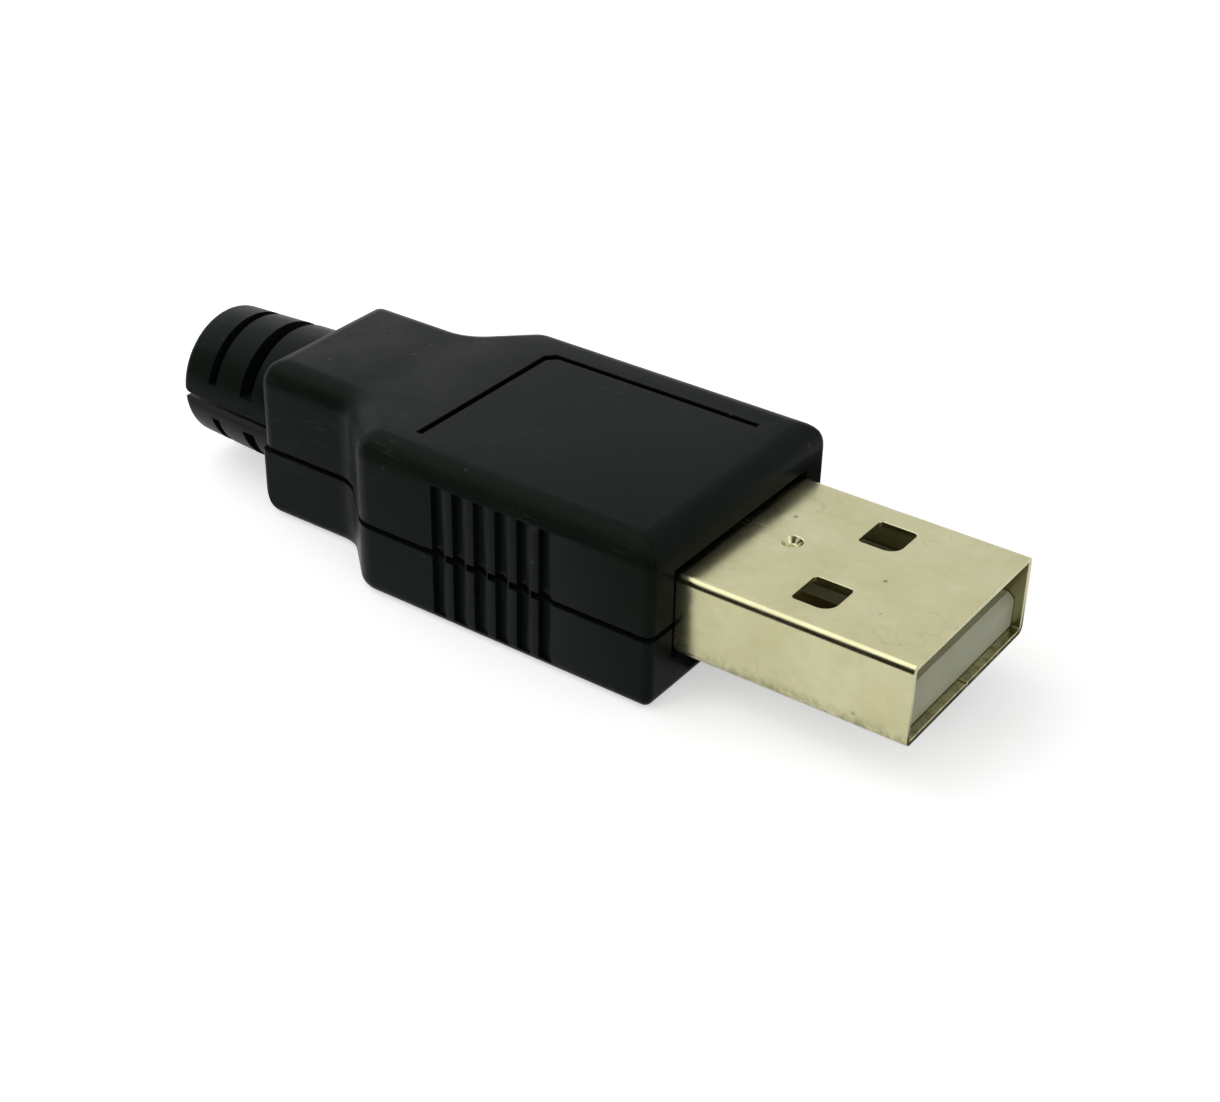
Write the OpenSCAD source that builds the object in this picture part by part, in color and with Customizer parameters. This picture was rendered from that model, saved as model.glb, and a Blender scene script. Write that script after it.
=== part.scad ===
// USB-A plug with a snap-together housing, for fitting to a cable by hand.
// Millimetres. +X points out of the metal mouth, +Z up, the housing rests on z = 0,
// and the origin is the middle of the footprint of the whole plug.

/* [Metal shell] */
// Width of the metal shell over the sheet
shell_w = 12; // [11:0.1:13]
// Height of the metal shell over the sheet
shell_h = 4.5; // [4.3:0.05:4.8]
// Thickness of the folded sheet
sheet_t = 0.3; // [0.2:0.05:0.4]
// Outer radius of the four long bends
shell_bend_r = 0.44; // [0.42:0.02:0.8]
// Length of shell that stands out of the housing
shell_reach = 12.8; // [12:0.1:15]
// Length of shell that the housing holds
shell_held = 5.9; // [5:0.1:7]
// Latching window, along the plug
window_l = 2.15; // [1.5:0.05:2.5]
// Latching window, across the plug
window_w = 2.3; // [1.5:0.05:2.6]
// Corner radius of a latching window
window_r = 0.25; // [0.1:0.05:0.5]
// Larger radius of the window corner where the punch enters first
window_lead_r = 0.75; // [0.3:0.05:1]
// Mouth to the front edge of the windows
window_setback = 5.35; // [5:0.05:6]
// Distance between the two windows, centre to centre
window_pitch = 6.3; // [5.5:0.1:7]
// Gap of the seam along the underside
seam_gap = 0.08; // [0.04:0.02:0.16]
// Diameter of the staked dimple on top
dimple_d = 1.25; // [0.8:0.05:1.4]
// Depth that the dimple is pressed in
dimple_depth = 0.34; // [0.2:0.02:0.5]
// Mouth to the centre of the dimple
dimple_setback = 10; // [9.8:0.1:10.6]
// How far each ear at the back stands out sideways
ear_reach = 0.5; // [0.3:0.05:0.6]
// Height of each ear
ear_h = 2.6; // [1.5:0.1:3]

/* [Insulator] */
// Thickness of the tongue under the contacts' plane
tongue_t = 1.9; // [1.6:0.05:2]
// Mouth to the front face of the tongue
tongue_setback = 0.5; // [0.3:0.05:1]
// Depth of the open socket behind the mouth
socket_depth = 9; // [8.8:0.1:9.2]
// Length of the solder ledge behind the shell
ledge_l = 2.6; // [2:0.1:3]
// Bevel along the front top edge of the tongue
tongue_bevel = 0.35; // [0.1:0.05:0.6]

/* [Contacts] */
// Width of a contact
contact_w = 1; // [0.8:0.05:1.2]
// Thickness of a contact
contact_t = 0.25; // [0.15:0.01:0.3]
// Distance between the two data contacts
data_pitch = 2; // [1.8:0.05:2.2]
// Distance from a data contact to the power contact beside it
power_pitch = 2.5; // [2.3:0.05:2.6]
// Length of a power contact in the socket
power_contact_l = 7.41; // [7:0.01:7.6]
// Length of a data contact in the socket
data_contact_l = 6.41; // [6:0.01:6.6]
// Depth of the hook at a contact's front end
contact_hook_h = 0.8; // [0.5:0.05:1]
// Length of a solder cup
cup_l = 2.2; // [1.5:0.1:2.3]
// Outer diameter of a solder cup
cup_d = 1.3; // [1.1:0.05:1.5]

/* [Housing] */
// Length of the housing without its cable tube
body_l = 28; // [26:0.1:32]
// Width of the front part of the housing
body_w = 16; // [15.6:0.1:18]
// Width of the narrower back part
neck_w = 10.2; // [9.6:0.1:12]
// Height of the lower cover
lower_h = 4.1; // [3.8:0.1:5]
// Height of the upper cover
upper_h = 5.2; // [4.8:0.1:6]
// Height of the shell's axis over the joint between the covers
axis_rise = 0.57; // [0.3:0.01:0.8]
// Front face to the start of the shoulders
shoulder_setback = 18.2; // [17:0.1:20]
// Length of the sloping part of a shoulder
shoulder_run = 3.1; // [2:0.1:4]
// Outer blend radius of a shoulder
shoulder_out_r = 1.8; // [1.6:0.1:2.5]
// Inner blend radius of a shoulder
shoulder_in_r = 2.5; // [1:0.1:3]
// Upright corner radius at the front
front_corner_r = 0.5; // [0.4:0.05:2]
// Upright corner radius at the back of the upper cover
rear_corner_r = 1; // [0.4:0.05:1.5]
// Upright corner radius at the back of the lower cover
heel_corner_r = 0.5; // [0.4:0.05:1]
// Edge radius round the top face
top_edge_r = 1.45; // [0.8:0.05:1.6]
// Edge radius round the bottom face
bottom_edge_r = 0.7; // [0.4:0.05:1.5]
// Height of the rounded heel, at the back of the lower cover
heel_h = 2.6; // [1:0.1:3]
// Length of the rounded heel, along the underside
heel_l = 1.6; // [0.8:0.1:2.2]
// Thickness of the side walls
wall_t = 1.3; // [1:0.05:1.5]
// Thickness of the roof and the floor
roof_t = 1.3; // [1:0.05:1.5]
// Width of the shadow line between the covers
joint_line_w = 0.34; // [0.1:0.02:0.5]
// Depth of the shadow line between the covers
joint_line_d = 0.3; // [0.1:0.05:0.5]

/* [Grip grooves] */
// Number of upright grooves on each side
groove_n = 6; // [3:1:7]
// Distance between grooves
groove_pitch = 1.345; // [1.1:0.005:1.5]
// Width of a groove
groove_w = 0.56; // [0.3:0.02:0.8]
// Front face to the first groove
groove_setback = 6.35; // [5:0.05:8]
// Top of the grooves over the joint between the covers
groove_rise = 3.5; // [2:0.1:3.6]
// Bottom of the grooves under the joint between the covers
groove_drop = 3.15; // [1.5:0.05:3.2]

/* [Corner mark on the roof] */
// Width of the engraved line
mark_w = 0.4; // [0.2:0.02:0.5]
// Depth of the engraved line
mark_depth = 0.3; // [0.1:0.02:0.4]
// Front face to the front end of the long line
mark_front = 2.55; // [2:0.05:4]
// Front face to the cross line
mark_cross = 15.8; // [14:0.1:16]
// Middle of the housing to the long line
mark_side = 5.2; // [4.5:0.05:5.6]
// Middle of the housing to the open end of the cross line
mark_end = 5.9; // [4:0.1:6]

/* [Cable tube] */
// Length of the tube behind the housing
tube_l = 7.2; // [6.5:0.1:9]
// Outer diameter of the tube at the housing
tube_root_d = 8.3; // [7.9:0.05:8.4]
// Outer diameter of the tube at its end
tube_tip_d = 7.6; // [7:0.05:7.8]
// Diameter of the bore that grips the cable
cable_d = 4.8; // [4:0.1:5.2]
// Edge radius at the end of the tube
tube_edge_r = 0.45; // [0.2:0.05:0.6]
// Tube end to the first flexing slot
slot_1_setback = 2.4; // [2:0.05:2.6]
// Width of the first flexing slot
slot_1_w = 0.6; // [0.3:0.05:0.7]
// Tube end to the second flexing slot
slot_2_setback = 5.05; // [4.8:0.05:5.3]
// Width of the second flexing slot
slot_2_w = 0.9; // [0.4:0.05:1]
// Height of the web left beside the split, in each half
web_h = 1.05; // [0.8:0.05:1.4]
// Gap between the two halves of the tube
tube_gap = 0.2; // [0.1:0.02:0.3]
// Depth of the notch at the end of the split
notch_l = 0.7; // [0.3:0.05:1]
// Height of the notch at the end of the split
notch_h = 0.75; // [0.4:0.05:1]

/* [Inside the covers] */
// Thickness of the ribs
rib_t = 0.9; // [0.7:0.05:1.1]
// Radius of the notch that bites the cable
bite_r = 2.15; // [1.9:0.05:2.3]
// Diameter of a locating peg
peg_d = 1.5; // [1.2:0.05:1.8]
// Height of a peg under the joint between the covers
peg_drop = 1.6; // [1:0.1:2]
// Front face to the locating pegs
peg_setback = 13.2; // [12.6:0.1:13.6]
// Distance between the pegs
peg_pitch = 10; // [9:0.1:10.2]
// Width of a snap hook
hook_w = 2.6; // [2:0.1:3]
// Thickness of a snap hook
hook_t = 0.8; // [0.6:0.05:0.9]
// Reach of a hook under the joint between the covers
hook_drop = 2; // [1.6:0.1:2.2]
// How far the barb of a hook stands out
barb = 0.3; // [0.15:0.05:0.4]

/* [Fits] */
// Gap between the shell and the housing, above and below
shell_gap_z = 0.3; // [0.08:0.02:0.3]
// Gap between the shell and the housing, at the sides
shell_gap_y = 0.1; // [0.06:0.02:0.16]
// Gap between the insulator and the shell
insulator_gap = 0.05; // [0.03:0.01:0.08]
// Gap round a contact in the insulator
contact_gap = 0.03; // [0.02:0.01:0.05]
// Gap round pegs, hooks and ears
snap_gap = 0.1; // [0.06:0.02:0.14]

/* [Hidden] */
$fn = 48;

// Where things lie along the plug
overall_l = shell_reach + body_l + tube_l;
tip_x = overall_l / 2;
front_x = tip_x - shell_reach;
rear_x = front_x - body_l;
tail_x = rear_x - tube_l;
shell_rear_x = front_x - shell_held;
block_front_x = tip_x - socket_depth;
ledge_rear_x = shell_rear_x - ledge_l;
dimple_x = tip_x - dimple_setback;

// Heights
axis_z = lower_h + axis_rise;
top_z = lower_h + upper_h;
floor_z = axis_z - shell_h / 2 + sheet_t + insulator_gap;
ceiling_z = axis_z + shell_h / 2 - sheet_t - insulator_gap;
contact_z = floor_z + tongue_t;

// Insulator section
insulator_w = shell_w - 2 * sheet_t - 2 * insulator_gap;
insulator_h = ceiling_z - floor_z;
insulator_r = shell_bend_r - sheet_t + insulator_gap;

// Shoulders: the angle of the slope and the reach of each blend along the walls
shoulder_a = atan2((body_w - neck_w) / 2, shoulder_run);
shoulder_out_x = front_x - shoulder_setback + shoulder_out_r * tan(shoulder_a / 2);
shoulder_in_x = front_x - shoulder_setback - shoulder_run - shoulder_in_r * tan(shoulder_a / 2);
min_corner_r = 0.3;

// Steps in the rounded edges and corners
corner_steps = 8;
edge_steps = 8;

// Locating pegs and snap hooks
peg_x = front_x - peg_setback;
hook_front_x = shell_rear_x - rib_t - 2 * snap_gap - hook_w / 2 - 0.2;
hook_rear_x = shoulder_in_x - hook_w / 2;
boss_d = peg_d + 2 * snap_gap + 1.3;

// Ribs: the one in the cradle, the ones that trap the ears, the ones that bite the cable
cradle_rib_x = front_x - wall_t - 1;
ear_rib_x = shell_rear_x + sheet_t + snap_gap;
stop_rib_x = shell_rear_x - snap_gap - rib_t;
bite_xs = [rear_x + wall_t + 0.8, rear_x + wall_t + 2.7];
stop_rib_inner = insulator_w / 2 + snap_gap;
bite_rib_w = neck_w - 2 * (wall_t + hook_t + 3 * snap_gap);

// How far cutters run past what they cut
over = 1;

// ---------------------------------------------------------------- shared shapes

// Points of an arc about c, from angle a to angle b
function arc(c, r, a, b) =
    [for (i = [0 : corner_steps]) let (t = a + (b - a) * i / corner_steps) c + r * [cos(t), sin(t)]];

// Radius of an upright corner after the outline moves in by d
function corner_r(r, d) = max(r - d, min_corner_r);

// One long half of the housing's outline, moved in by d, from the front to the back
function half_outline(d, back_r) =
    let (front_r = corner_r(front_corner_r, d), rear_r = corner_r(back_r, d))
    concat(
        arc([front_x - d - front_r, body_w / 2 - d - front_r], front_r, 0, 90),
        arc([shoulder_out_x, body_w / 2 - shoulder_out_r], shoulder_out_r - d, 90, 90 + shoulder_a),
        arc([shoulder_in_x, neck_w / 2 + shoulder_in_r], shoulder_in_r + d, shoulder_a - 90, -90),
        arc([rear_x + d + rear_r, neck_w / 2 - d - rear_r], rear_r, 90, 180));

// The whole outline, anticlockwise
function outline(d, back_r = rear_corner_r) =
    let (half = half_outline(d, back_r), n = len(half))
    concat(half, [for (i = [n - 1 : -1 : 0]) [half[i].x, -half[i].y]]);

// Edge radii, kept inside what the upright walls and corners allow
top_r = min(top_edge_r, shoulder_out_r - min_corner_r);
bottom_r = min(bottom_edge_r, shoulder_out_r - min_corner_r);

// Rings of the two covers as [inset, height], which run past the flat faces they are trimmed to
joint_h = joint_line_w / 2;
crown = 0.02;
upper_rings = concat(
    [[joint_line_d, lower_h - over], [joint_line_d, lower_h + joint_h], [0, lower_h + joint_h]],
    [for (i = [0 : edge_steps]) let (a = 90 * i / edge_steps)
        [top_r * (1 - cos(a)), top_z - top_r * (1 - sin(a)) + (i == edge_steps ? crown : 0)]]);
lower_rings = concat(
    [for (i = [0 : edge_steps]) let (a = 90 * i / edge_steps)
        [bottom_r * (1 - sin(a)), bottom_r * (1 - cos(a)) - (i == 0 ? crown : 0)]],
    [[0, lower_h - joint_h], [joint_line_d, lower_h - joint_h], [joint_line_d, lower_h + over]]);

// Solid through rings of the outline, each moved in and raised, trimmed flat at z and z + h
module lofted(rings, z, h, back_r) {
    n = len(outline(0));
    last = len(rings) - 1;
    points = [for (ring = rings) for (p = outline(ring[0], back_r)) [p.x, p.y, ring[1]]];
    sides = [for (k = [0 : last - 1]) for (i = [0 : n - 1]) let (j = (i + 1) % n)
        [k * n + i, (k + 1) * n + i, (k + 1) * n + j, k * n + j]];
    bottom_face = [for (i = [0 : n - 1]) i];
    top_face = [for (i = [n - 1 : -1 : 0]) last * n + i];
    intersection() {
        polyhedron(points, concat([bottom_face], sides, [top_face]));
        translate([rear_x - over, -body_w, z]) cube([body_l + 2 * over, 2 * body_w, h]);
    }
}

// Upright slab with the housing's outline, moved in by d
module outline_slab(d, z, h) {
    translate([0, 0, z]) linear_extrude(h) polygon(outline(d));
}

// Rectangle with round corners, centred
module rounded_rect(w, h, r) {
    square([w - 2 * r, h], center = true);
    square([w, h - 2 * r], center = true);
    for (i = [-1, 1], j = [-1, 1])
        translate([i * (w / 2 - r), j * (h / 2 - r)]) circle(r);
}

// Stretches a section drawn in Y and Z along X, about the shell's axis
module along_x(x, l) {
    translate([x, 0, axis_z]) rotate([90, 0, 90]) linear_extrude(l) children();
}

// Stretches a profile drawn in X and Z across the plug, centred on y
module across_y(w, y = 0) {
    translate([0, y + w / 2, 0]) rotate([90, 0, 0]) linear_extrude(w) children();
}

// Round bar along X on the shell's axis
module round_x(x, l, r1, r2) {
    translate([x, 0, axis_z]) rotate([0, 90, 0]) cylinder(h = l, r1 = r1, r2 = r2);
}

// Both long sides at once
module both_sides() {
    children();
    mirror([0, 1, 0]) children();
}

// ---------------------------------------------------------------- housing

// Space that the shell fills inside the covers
module shell_space(x, l) {
    along_x(x, l) square([shell_w + 2 * shell_gap_y, shell_h + 2 * shell_gap_z], center = true);
}

// Ribs of the grip, which close the shadow line between the grooves
module grip_ribs(z) {
    rib_w = groove_pitch - 1.3 * groove_w;
    both_sides() for (i = [0 : groove_n - 2])
        translate([front_x - groove_setback - (i + 0.5) * groove_pitch - rib_w / 2,
                   body_w / 2 - 2 * joint_line_d, z])
            cube([rib_w, 2 * joint_line_d - 0.02, 2 * joint_h]);
}

// Upright grip grooves with round ends
module grip_grooves() {
    r = groove_w / 2;
    both_sides() for (i = [0 : groove_n - 1])
        translate([front_x - groove_setback - i * groove_pitch, body_w / 2, lower_h]) {
            translate([0, 0, -groove_drop]) cylinder(h = groove_drop + groove_rise, r = r, $fn = 24);
            translate([0, 0, -groove_drop]) sphere(r, $fn = 24);
            translate([0, 0, groove_rise]) sphere(r, $fn = 24);
        }
}

// Engraved corner line on the roof
module corner_mark() {
    cross_x = front_x - mark_cross;
    bevel = 1.2 * mark_w;
    translate([0, 0, top_z - mark_depth]) linear_extrude(mark_depth + over) difference() {
        union() {
            translate([cross_x - mark_w / 2, -mark_end])
                square([mark_w, mark_end + mark_side + mark_w / 2]);
            translate([cross_x - mark_w / 2, mark_side - mark_w / 2])
                square([mark_cross - mark_front + mark_w / 2, mark_w]);
            translate([cross_x + mark_w / 2, mark_side - mark_w / 2])
                polygon([[0, 0], [bevel, 0], [0, -bevel]]);
        }
        translate([cross_x - mark_w / 2, mark_side + mark_w / 2])
            polygon([[-over, over], [bevel, over], [bevel, 0], [0, -bevel], [-over, -bevel]]);
    }
}

// Tapered cable tube with a rounded end, whole
module tube_form() {
    r0 = tube_root_d / 2;
    r1 = tube_tip_d / 2;
    arc_pts = [for (i = [0 : 6]) let (a = 90 * i / 6)
        [r1 - tube_edge_r * (1 - cos(a)), tube_l - tube_edge_r * (1 - sin(a))]];
    translate([rear_x, 0, axis_z]) rotate([0, -90, 0])
        rotate_extrude() polygon(concat([[0, -wall_t / 2], [r0, -wall_t / 2]], arc_pts, [[0, tube_l]]));
}

// Flexing slot through the tube wall, clear of the webs beside the split
module flex_slot(setback, w) {
    difference() {
        round_x(tail_x + setback - w / 2, w, tube_root_d, tube_root_d);
        translate([tail_x, -tube_root_d, axis_z - web_h])
            cube([tube_l, 2 * tube_root_d, 2 * web_h]);
    }
}

// What rounds the heel, along the back edge of the underside
module heel() {
    bend = [for (i = [0 : edge_steps]) let (a = 90 * i / edge_steps)
        [rear_x + heel_l * (1 - cos(a)), heel_h * (1 - sin(a))]];
    across_y(2 * body_w) polygon(concat(
        [[rear_x - over, -over], [rear_x - over, heel_h]], bend, [[rear_x + heel_l, -over]]));
}

// Everything cut out of both covers
module common_cuts() {
    shell_space(front_x - wall_t - over / 2, wall_t + over);
    round_x(tail_x - over, tube_l + wall_t + 2 * over, cable_d / 2, cable_d / 2);
    flex_slot(slot_1_setback, slot_1_w);
    flex_slot(slot_2_setback, slot_2_w);
    across_y(2 * tube_root_d) polygon([
        [tail_x - over, axis_z - notch_h / 2 - over * notch_h / notch_l / 2],
        [tail_x + notch_l, axis_z],
        [tail_x - over, axis_z + notch_h / 2 + over * notch_h / notch_l / 2]]);
    grip_grooves();
}

// Ribs across a cover between two heights, shaped to the shell and the cable
module ribs(z, h, bite_x) {
    intersection() {
        outline_slab(wall_t / 2, z, h);
        union() {
            difference() {
                union() for (x = [cradle_rib_x - rib_t, ear_rib_x])
                    translate([x, -body_w / 2, z]) cube([rib_t, body_w, h]);
                shell_space(shell_rear_x - over, shell_held + over);
            }
            both_sides() translate([stop_rib_x, stop_rib_inner, z])
                cube([rib_t, body_w / 2, h]);
            difference() {
                translate([bite_x, -bite_rib_w / 2, z]) cube([rib_t, bite_rib_w, h]);
                round_x(bite_x - over, rib_t + 2 * over, bite_r, bite_r);
            }
        }
    }
}

// Snap hook hanging from the upper cover, at the wall whose inner face is at y
module snap_hook(x, y) {
    face = y - snap_gap;
    tip = lower_h - hook_drop;
    both_sides() translate([x - hook_w / 2, 0, 0]) rotate([90, 0, 90]) linear_extrude(hook_w)
        polygon([[y + wall_t / 2, lower_h + joint_line_w], [y + wall_t / 2, lower_h + 2 * hook_t],
                 [face - hook_t, lower_h + 2 * hook_t], [face - hook_t, tip], [face, tip],
                 [face + barb, tip + 1.2 * barb], [face + barb, tip + 1.8 * barb],
                 [face, tip + 2.4 * barb], [face, lower_h + joint_line_w]]);
}

// Pocket in the lower cover that the barb snaps into
module snap_pocket(x, y) {
    both_sides() translate([x - hook_w / 2 - snap_gap, y - over, lower_h - hook_drop - snap_gap])
        cube([hook_w + 2 * snap_gap, over + barb + snap_gap, 2.4 * barb + 2 * snap_gap]);
}

// Upper half of the housing
module upper_cover() color([0.13, 0.14, 0.13]) {
    difference() {
        union() {
            difference() {
                lofted(upper_rings, lower_h, upper_h, rear_corner_r);
                outline_slab(wall_t, lower_h - over, upper_h - roof_t + over);
                corner_mark();
            }
            grip_ribs(lower_h);
            ribs(lower_h, upper_h - roof_t / 2, bite_xs[0]);
            intersection() {
                tube_form();
                translate([tail_x - over, -tube_root_d, axis_z + tube_gap / 2])
                    cube([tube_l + wall_t + over, 2 * tube_root_d, tube_root_d]);
            }
        }
        common_cuts();
    }
    both_sides() translate([peg_x, peg_pitch / 2, lower_h - peg_drop])
        cylinder(h = peg_drop + upper_h - roof_t / 2, d = peg_d);
    snap_hook(hook_front_x, body_w / 2 - wall_t);
    snap_hook(hook_rear_x, neck_w / 2 - wall_t);
}

// Lower half of the housing
module lower_cover() color([0.11, 0.12, 0.11]) {
    difference() {
        union() {
            difference() {
                lofted(lower_rings, 0, lower_h, heel_corner_r);
                outline_slab(wall_t, roof_t, lower_h);
                heel();
            }
            grip_ribs(lower_h - 2 * joint_h);
            ribs(roof_t / 2, lower_h - roof_t / 2, bite_xs[1]);
            both_sides() translate([peg_x, peg_pitch / 2, roof_t / 2])
                cylinder(h = lower_h - roof_t / 2, d = boss_d);
            intersection() {
                tube_form();
                union() {
                    translate([tail_x - over, -tube_root_d, axis_z - tube_gap / 2 - tube_root_d])
                        cube([tube_l + over - snap_gap, 2 * tube_root_d, tube_root_d]);
                    translate([rear_x - over, -tube_root_d, 0])
                        cube([over + wall_t / 2, 2 * tube_root_d, lower_h]);
                }
            }
        }
        common_cuts();
        both_sides() translate([peg_x, peg_pitch / 2, lower_h - peg_drop - snap_gap])
            cylinder(h = peg_drop + over, d = peg_d + 2 * snap_gap);
        snap_pocket(hook_front_x, body_w / 2 - wall_t);
        snap_pocket(hook_rear_x, neck_w / 2 - wall_t);
    }
}

// ---------------------------------------------------------------- metal shell

// Interlocking seam along the middle of the underside
module seam() {
    lock_x = tip_x - window_setback - window_l;
    head = 1.1;
    neck = 0.7;
    reach = 0.9;
    half = seam_gap / 2;
    translate([0, 0, axis_z - shell_h / 2 - over]) linear_extrude(over + 2 * sheet_t) {
        translate([shell_rear_x - over, -half]) square([lock_x - head - shell_rear_x + over, seam_gap]);
        translate([lock_x, -half]) square([tip_x - lock_x + over, seam_gap]);
        difference() {
            polygon([[lock_x - head - half, -half], [lock_x - head - half, half],
                     [lock_x - head - half - (head - neck) / 2, reach + half],
                     [lock_x + half + (head - neck) / 2, reach + half],
                     [lock_x + half, half], [lock_x + half, -half]]);
            polygon([[lock_x - head + half, -over], [lock_x - head + half, half],
                     [lock_x - head + half - (head - neck) / 2, reach - half],
                     [lock_x - half + (head - neck) / 2, reach - half],
                     [lock_x - half, half], [lock_x - half, -over]]);
        }
    }
}

// Latching window, with a larger radius on its front corner on the -Y side
module window() {
    difference() {
        rounded_rect(window_l, window_w, window_r);
        translate([window_l / 2 - window_lead_r, window_lead_r - window_w / 2]) difference() {
            translate([0, -window_lead_r - over]) square(window_lead_r + over);
            circle(window_lead_r);
        }
    }
}

// Folded, plated sheet with its windows, seam, dimple and ears
module plug_shell() color([0.76, 0.74, 0.66]) {
    top = axis_z + shell_h / 2;
    pit_r = dimple_d / 2;
    difference() {
        union() {
            along_x(shell_rear_x, shell_reach + shell_held) difference() {
                rounded_rect(shell_w, shell_h, shell_bend_r);
                rounded_rect(shell_w - 2 * sheet_t, shell_h - 2 * sheet_t, shell_bend_r - sheet_t);
            }
            both_sides() translate([shell_rear_x, shell_w / 2 - sheet_t / 2, axis_z - ear_h / 2])
                cube([sheet_t, ear_reach + sheet_t / 2, ear_h]);
            translate([dimple_x, 0, top - sheet_t - dimple_depth])
                cylinder(h = dimple_depth + sheet_t / 2, r1 = pit_r * 0.55, r2 = pit_r);
        }
        translate([dimple_x, 0, top - dimple_depth])
            cylinder(h = dimple_depth, r1 = pit_r * 0.45, r2 = pit_r * 0.9);
        for (j = [-1, 1])
            translate([tip_x - window_setback - window_l / 2, j * window_pitch / 2, axis_z - shell_h])
                linear_extrude(2 * shell_h) window();
        seam();
    }
}

// ---------------------------------------------------------------- insulator and contacts

// Sideways places of the four contacts
data_y = data_pitch / 2;
power_y = data_y + power_pitch;

// Front end of a contact whose length in the socket is l
function contact_front(l) = block_front_x + l;

// Room for one contact
module contact_room(y, l) {
    w = contact_w + 2 * contact_gap;
    front = contact_front(l) + contact_gap;
    translate([ledge_rear_x - over, y - w / 2, contact_z - contact_t - contact_gap])
        cube([front - ledge_rear_x + over, w, contact_t + 2 * contact_gap]);
    translate([front - contact_t - 2 * contact_gap, y - w / 2, contact_z - contact_hook_h - contact_gap])
        cube([contact_t + 2 * contact_gap, w, contact_hook_h + 2 * contact_gap]);
}

// White moulding: tongue, block that fills the shell, and solder ledge
module insulator() color([0.93, 0.93, 0.9]) {
    tongue_x = tip_x - tongue_setback;
    ledge_z = contact_z - contact_t - contact_gap;
    difference() {
        intersection() {
            along_x(ledge_rear_x, tongue_x - ledge_rear_x)
                rounded_rect(insulator_w, insulator_h, insulator_r);
            across_y(insulator_w) polygon([
                [ledge_rear_x, floor_z], [tongue_x, floor_z], [tongue_x, contact_z - tongue_bevel],
                [tongue_x - tongue_bevel, contact_z], [block_front_x, contact_z],
                [block_front_x, ceiling_z], [shell_rear_x, ceiling_z],
                [shell_rear_x, ledge_z], [ledge_rear_x, ledge_z]]);
        }
        for (j = [-1, 1]) {
            contact_room(j * data_y, data_contact_l);
            contact_room(j * power_y, power_contact_l);
        }
        translate([dimple_x, 0, ceiling_z - dimple_depth - insulator_gap])
            cylinder(h = dimple_depth + over, d = dimple_d + 2 * insulator_gap);
    }
}

// One contact: hooked front end, flat spring, solder cup
module contact(y, l) {
    front = contact_front(l);
    cup_x = ledge_rear_x;
    cup_z = contact_z - contact_t + cup_d / 2;
    difference() {
        union() {
            across_y(contact_w, y) polygon([
                [cup_x, contact_z - contact_t], [front - contact_t, contact_z - contact_t],
                [front - contact_t, contact_z - contact_hook_h], [front, contact_z - contact_hook_h],
                [front, contact_z - contact_t / 2], [front - contact_t / 2, contact_z],
                [cup_x, contact_z]]);
            intersection() {
                translate([cup_x, y, cup_z]) rotate([0, 90, 0]) cylinder(h = cup_l, d = cup_d);
                translate([cup_x - over, y - cup_d, cup_z - cup_d])
                    cube([cup_l + 2 * over, 2 * cup_d, cup_d + cup_d / 6]);
            }
        }
        translate([cup_x - over, y, cup_z]) rotate([0, 90, 0])
            cylinder(h = cup_l + over - contact_t, d = cup_d - 2 * contact_t);
    }
}

// Supply, two data and return contacts, from +Y to -Y
module power_contact() color([0.83, 0.68, 0.32]) contact(power_y, power_contact_l);
module data_minus_contact() color([0.83, 0.68, 0.32]) contact(data_y, data_contact_l);
module data_plus_contact() color([0.83, 0.68, 0.32]) contact(-data_y, data_contact_l);
module ground_contact() color([0.83, 0.68, 0.32]) contact(-power_y, power_contact_l);

upper_cover();
lower_cover();
plug_shell();
insulator();
power_contact();
data_minus_contact();
data_plus_contact();
ground_contact();
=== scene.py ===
"""USB-A plug with a snap-together housing: finishes, small surface detail, light and camera.

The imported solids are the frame. Each sub-assembly below takes its solids, welds a copy of them
so that the moulded and folded surfaces run smooth, gives them their finish, and adds the
detail that is too small for the solids.
"""

import logging
import math
from dataclasses import dataclass, field
from enum import Enum
from typing import Callable, Iterable, Optional

import bmesh
import bpy
from mathutils import Matrix, Vector


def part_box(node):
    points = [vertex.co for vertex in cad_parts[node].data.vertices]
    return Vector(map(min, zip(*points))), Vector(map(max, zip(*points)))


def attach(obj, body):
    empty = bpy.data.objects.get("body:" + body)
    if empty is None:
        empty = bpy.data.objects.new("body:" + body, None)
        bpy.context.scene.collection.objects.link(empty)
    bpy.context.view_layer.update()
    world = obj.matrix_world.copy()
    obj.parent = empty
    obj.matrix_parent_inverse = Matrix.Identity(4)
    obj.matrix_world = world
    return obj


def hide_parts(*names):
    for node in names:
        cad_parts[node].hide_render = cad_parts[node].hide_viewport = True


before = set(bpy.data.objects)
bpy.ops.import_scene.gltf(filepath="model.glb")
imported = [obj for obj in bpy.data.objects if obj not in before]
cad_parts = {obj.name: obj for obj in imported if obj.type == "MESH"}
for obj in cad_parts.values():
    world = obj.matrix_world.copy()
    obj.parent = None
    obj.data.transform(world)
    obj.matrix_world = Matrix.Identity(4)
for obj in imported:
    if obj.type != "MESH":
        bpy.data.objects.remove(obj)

MM = 0.001
ROOT = "root"
log = logging.getLogger("plug")

Colour = tuple[float, float, float]


class Coating(Enum):
    """The finishes of the plug, each with the name that the log shows for it."""

    BLACK_MOULDING = "housing_plastic"
    NICKEL = "nickel_plate"
    WHITE_MOULDING = "white_plastic"
    GOLD = "contact_gold"


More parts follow.
